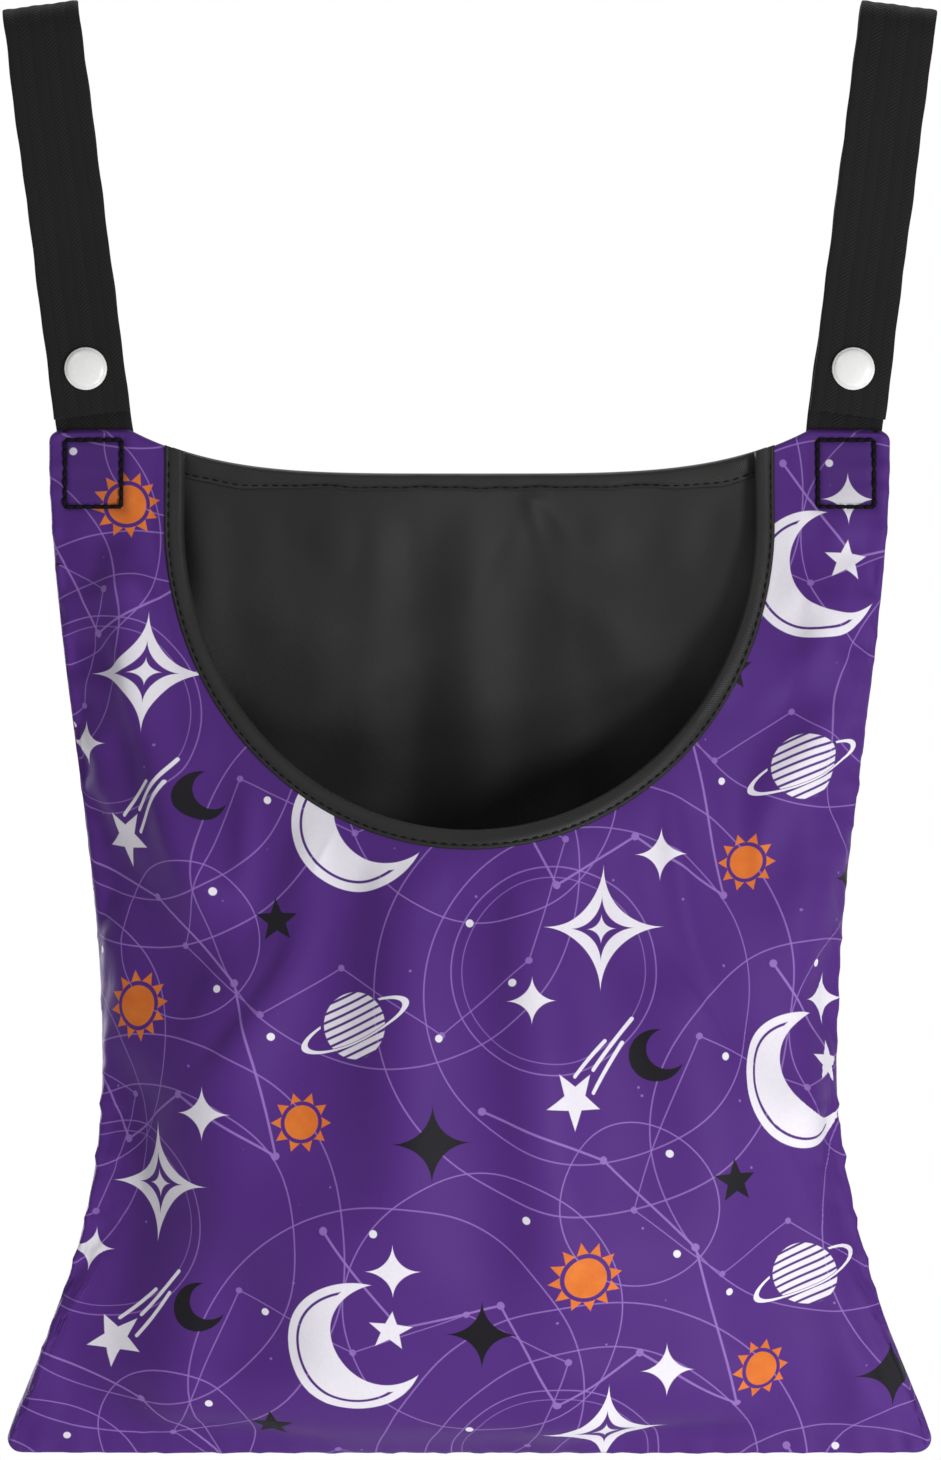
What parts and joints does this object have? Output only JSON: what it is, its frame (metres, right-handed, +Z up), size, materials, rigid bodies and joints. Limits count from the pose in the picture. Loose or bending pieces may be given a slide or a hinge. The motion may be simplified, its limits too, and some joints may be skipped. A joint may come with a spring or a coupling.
{
  "type": "peg bag",
  "caption": "Hanging cloth peg bag with a wide bound mouth in its front, a dark lining, and webbing straps that fold over a rail and close with press snaps.",
  "frame": {"origin": "on the axis of the rail that the straps hang from, midway between the two straps", "axes": "+Z up, along the bag's height; +X to the right as seen from the front; the front with the mouth faces -Y"},
  "size_m": [0.3074, 0.0815, 0.4764],
  "materials": {
    "printed_cloth": "smooth purple polyester with a printed pattern",
    "lining": "black nylon with a soft sheen",
    "binding_tape": "black folded tape, slightly satin",
    "webbing": "black herringbone webbing, matt",
    "thread": "black sewing thread",
    "snap_plastic": "white glossy moulded plastic"
  },
  "bodies": {
    "straps": {"left_strap": "webbing", "right_strap": "webbing", "left_fold": "webbing", "right_fold": "webbing", "left_snap_stud": "snap_plastic", "right_snap_stud": "snap_plastic", "left_stud_cap": "snap_plastic", "right_stud_cap": "snap_plastic"},
    "bag": {"front_panel": "printed_cloth", "back_panel": "printed_cloth", "front_lining": "lining", "back_lining": "lining", "mouth_binding": "binding_tape", "back_edge_binding": "binding_tape", "left_sewn_end": "webbing", "right_sewn_end": "webbing", "left_box_stitch": "thread", "right_box_stitch": "thread"},
    "left_tail": {"left_tail": "webbing", "left_snap_cap": "snap_plastic", "left_snap_socket": "snap_plastic"},
    "right_tail": {"right_tail": "webbing", "right_snap_cap": "snap_plastic", "right_snap_socket": "snap_plastic"}
  },
  "joints": [
    {"name": "bag_swing", "type": "hinge", "parent": "straps", "child": "bag", "pos_m": [0, 0.0027, -0.126], "axis": [1, 0, 0], "range_deg": [-45, 60]},
    {"name": "left_tail_open", "type": "hinge", "parent": "straps", "child": "left_tail", "pos_m": [-0.14, 0, 0], "axis": [-0.9914, 0, -0.1306], "range_deg": [0, 150], "deforming": ["left_fold"]},
    {"name": "right_tail_open", "type": "hinge", "parent": "straps", "child": "right_tail", "pos_m": [0.14, 0, 0], "axis": [-0.9914, 0, 0.1306], "range_deg": [0, 150], "deforming": ["right_fold"]}
  ]
}
